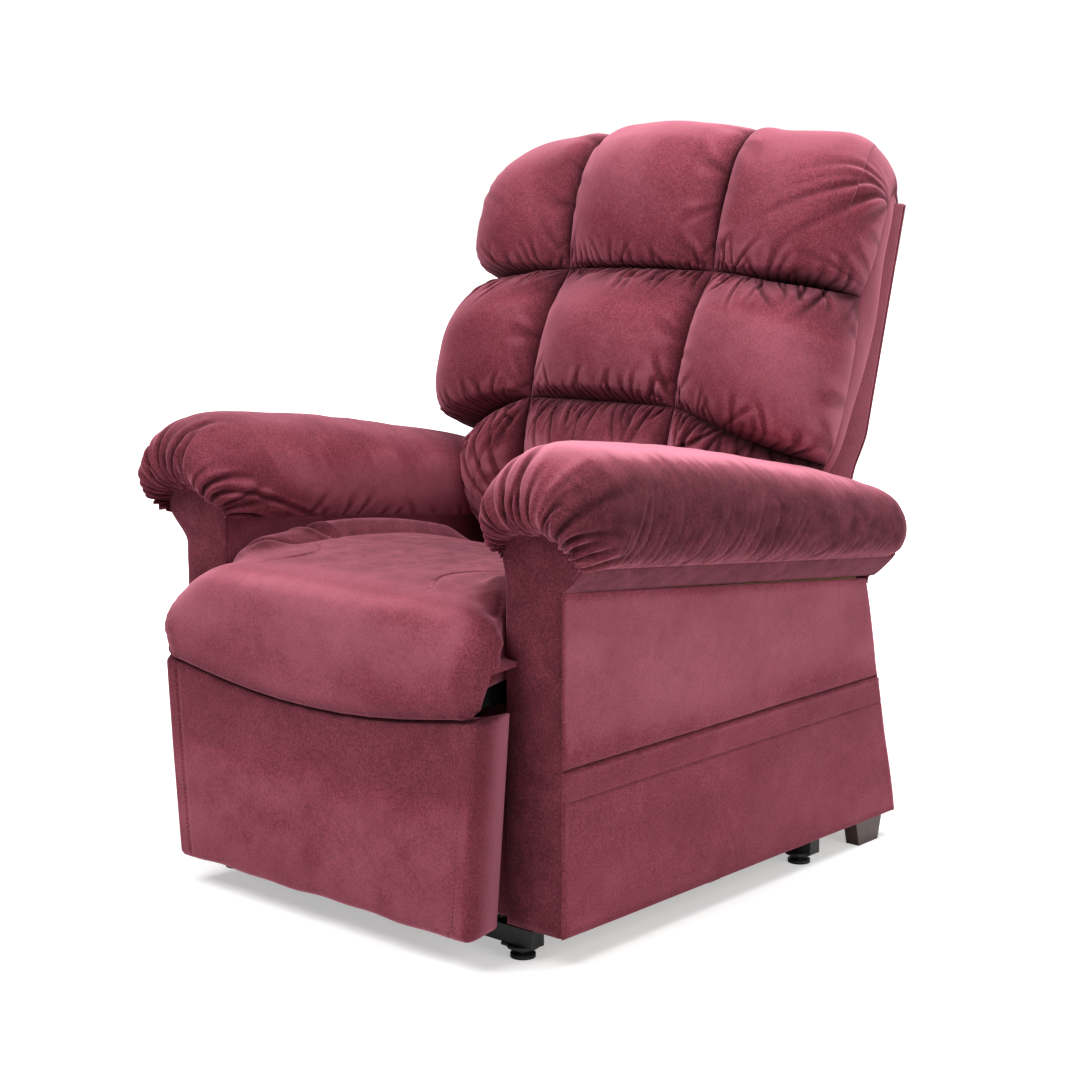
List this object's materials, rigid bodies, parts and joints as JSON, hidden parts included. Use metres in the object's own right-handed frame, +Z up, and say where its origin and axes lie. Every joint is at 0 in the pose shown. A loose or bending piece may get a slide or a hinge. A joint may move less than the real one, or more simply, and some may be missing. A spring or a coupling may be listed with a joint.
{
  "type": "lift recliner chair",
  "caption": "Upholstered powered lift recliner with pillowed back, padded arms, swinging legrest and a tilting four-bar base on levelling feet.",
  "frame": {"origin": "middle of the footprint's bounding box, on the floor", "axes": "+Z up; the sitter faces -Y; +X is the sitter's left"},
  "size_m": [0.8902, 1.084, 1.143],
  "materials": {
    "button_grey": "smooth",
    "leg_wood": "dark stain",
    "leveller": "plated stud on a black disc",
    "motor_black": "fine texture",
    "painted_frame": "satin black powder coat",
    "plastic_black": "fine texture",
    "plastic_grey": "fine texture",
    "plywood": "unfinished",
    "steel_rod": "polished",
    "velvet": "brushed velvet microfibre",
    "zinc": "zinc plated"
  },
  "bodies": {
    "base": {"base_front_tube": "painted_frame", "base_rear_tube": "painted_frame", "base_side_rails": "painted_frame", "base_link_brackets": "painted_frame", "base_motor_clevis": "painted_frame", "base_pivot_pins": "zinc", "tube_end_caps": "plastic_black", "leveller_plates": "painted_frame", "power_supply": "plastic_grey"},
    "leveller_fl": {"leveller_front_left": "leveller"},
    "leveller_fr": {"leveller_front_right": "leveller"},
    "leveller_rl": {"leveller_rear_left": "leveller"},
    "leveller_rr": {"leveller_rear_right": "leveller"},
    "front_link": {"front_lift_links": "painted_frame"},
    "rear_link": {"rear_lift_links": "painted_frame"},
    "lift_actuator": {"lift_motor": "motor_black", "lift_motor_tube": "zinc"},
    "lift_actuator_rod": {"lift_rod": "steel_rod"},
    "lift_frame": {"lift_frame_rails": "painted_frame", "lift_frame_cross_tubes": "painted_frame", "lift_motor_yoke": "painted_frame", "lift_pivot_pins": "zinc", "seat_slide_rails": "zinc", "arm_frame_left": "plywood", "arm_frame_right": "plywood", "arm_cover_left": "velvet", "arm_cover_right": "velvet", "arm_pad_left": "velvet", "arm_pad_right": "velvet", "rear_legs": "leg_wood", "arm_clips": "plastic_black", "front_skirt": "velvet", "rear_apron": "velvet", "control_pocket": "velvet", "control_box": "plastic_grey"},
    "seat": {"seat_frame": "painted_frame", "seat_springs": "zinc", "seat_cushion": "velvet", "legrest_pivot_pins": "zinc", "legrest_motor": "motor_black", "recline_motor": "motor_black"},
    "backrest": {"back_frame": "painted_frame", "back_lever": "zinc", "back_shell": "velvet", "back_pillow_top": "velvet", "back_pillow_middle": "velvet", "back_pillow_lower": "velvet"},
    "recline_actuator_rod": {"recline_rod": "steel_rod"},
    "legrest": {"legrest_board": "plywood", "legrest_pad": "velvet", "legrest_brackets": "painted_frame"},
    "legrest_arms": {"legrest_arm_links": "painted_frame"},
    "legrest_struts": {"legrest_strut_links": "painted_frame"},
    "legrest_actuator_rod": {"legrest_rod": "steel_rod"},
    "hand_control": {"hand_control": "plastic_grey"},
    "button_lift": {"button_lift": "button_grey"},
    "button_lower": {"button_lower": "button_grey"},
    "button_recline": {"button_recline": "button_grey"},
    "button_upright": {"button_upright": "button_grey"}
  },
  "joints": [
    {"name": "lift", "type": "hinge", "parent": "base", "child": "front_link", "pos_m": [0, -0.388, 0.072], "axis": [1, 0, 0], "range_deg": [0, 52]},
    {"name": "lift_tilt", "type": "hinge", "parent": "front_link", "child": "lift_frame", "pos_m": [0, -0.133, 0.092], "axis": [1, 0, 0], "range_deg": [-25, 0]},
    {"name": "rear_link_swing", "type": "hinge", "parent": "base", "child": "rear_link", "pos_m": [0, -0.3602, 0.0887], "axis": [1, 0, 0], "range_deg": [0, 46]},
    {"name": "lift_motor_swing", "type": "hinge", "parent": "base", "child": "lift_actuator", "pos_m": [0, -0.363, 0.07], "axis": [1, 0, 0], "range_deg": [0, 42]},
    {"name": "lift_rod_travel", "type": "slide", "parent": "lift_actuator", "child": "lift_actuator_rod", "axis": [0, 0.6213, 0.7836], "range_m": [0, 0.087]},
    {"name": "seat_slide", "type": "slide", "parent": "lift_frame", "child": "seat", "axis": [0, -1, 0], "range_m": [0, 0.05]},
    {"name": "recline", "type": "hinge", "parent": "seat", "child": "backrest", "pos_m": [0, 0.277, 0.335], "axis": [-1, 0, 0], "range_deg": [0, 38]},
    {"name": "recline_rod_travel", "type": "slide", "parent": "seat", "child": "recline_actuator_rod", "axis": [0, -1, 0], "range_m": [0, 0.051]},
    {"name": "legrest", "type": "hinge", "parent": "seat", "child": "legrest", "pos_m": [0, -0.524, 0.454], "axis": [-1, 0, 0], "range_deg": [0, 80]},
    {"name": "legrest_arm_swing", "type": "hinge", "parent": "seat", "child": "legrest_arms", "pos_m": [0, -0.403, 0.325], "axis": [-1, 0, 0], "range_deg": [0, 80]},
    {"name": "legrest_strut_swing", "type": "hinge", "parent": "legrest", "child": "legrest_struts", "pos_m": [0, -0.471, 0.291], "axis": [1, 0, 0], "range_deg": [0, 80]},
    {"name": "legrest_rod_travel", "type": "slide", "parent": "seat", "child": "legrest_actuator_rod", "axis": [0, -1, 0], "range_m": [0, 0.065]},
    {"name": "level_front_left", "type": "slide", "parent": "base", "child": "leveller_fl", "axis": [0, 0, -1], "range_m": [0, 0.005]},
    {"name": "level_front_right", "type": "slide", "parent": "base", "child": "leveller_fr", "axis": [0, 0, -1], "range_m": [0, 0.005]},
    {"name": "level_rear_left", "type": "slide", "parent": "base", "child": "leveller_rl", "axis": [0, 0, -1], "range_m": [0, 0.005]},
    {"name": "level_rear_right", "type": "slide", "parent": "base", "child": "leveller_rr", "axis": [0, 0, -1], "range_m": [0, 0.005]},
    {"name": "hand_control_lift", "type": "slide", "parent": "lift_frame", "child": "hand_control", "axis": [0, 0, 1], "range_m": [0, 0.055]},
    {"name": "press_lift", "type": "slide", "parent": "hand_control", "child": "button_lift", "axis": [1, 0, 0], "range_m": [0, 0.0015], "stiffness_N_per_m": 100},
    {"name": "press_lower", "type": "slide", "parent": "hand_control", "child": "button_lower", "axis": [1, 0, 0], "range_m": [0, 0.0015], "stiffness_N_per_m": 100},
    {"name": "press_recline", "type": "slide", "parent": "hand_control", "child": "button_recline", "axis": [1, 0, 0], "range_m": [0, 0.0015], "stiffness_N_per_m": 100},
    {"name": "press_upright", "type": "slide", "parent": "hand_control", "child": "button_upright", "axis": [1, 0, 0], "range_m": [0, 0.0015], "stiffness_N_per_m": 100}
  ],
  "couplings": [
    {"joint": "lift_tilt", "follows": "lift", "ratio": -0.48077},
    {"joint": "rear_link_swing", "follows": "lift", "ratio": 0.88038},
    {"joint": "lift_motor_swing", "follows": "lift", "ratio": 0.80192},
    {"joint": "lift_rod_travel", "follows": "lift", "m_per_rad": 0.094869},
    {"joint": "seat_slide", "follows": "recline", "m_per_rad": 0.075389},
    {"joint": "recline_rod_travel", "follows": "recline", "m_per_rad": 0.076445},
    {"joint": "legrest_arm_swing", "follows": "legrest", "ratio": 1},
    {"joint": "legrest_strut_swing", "follows": "legrest", "ratio": 1},
    {"joint": "legrest_rod_travel", "follows": "legrest", "m_per_rad": 0.046036}
  ]
}
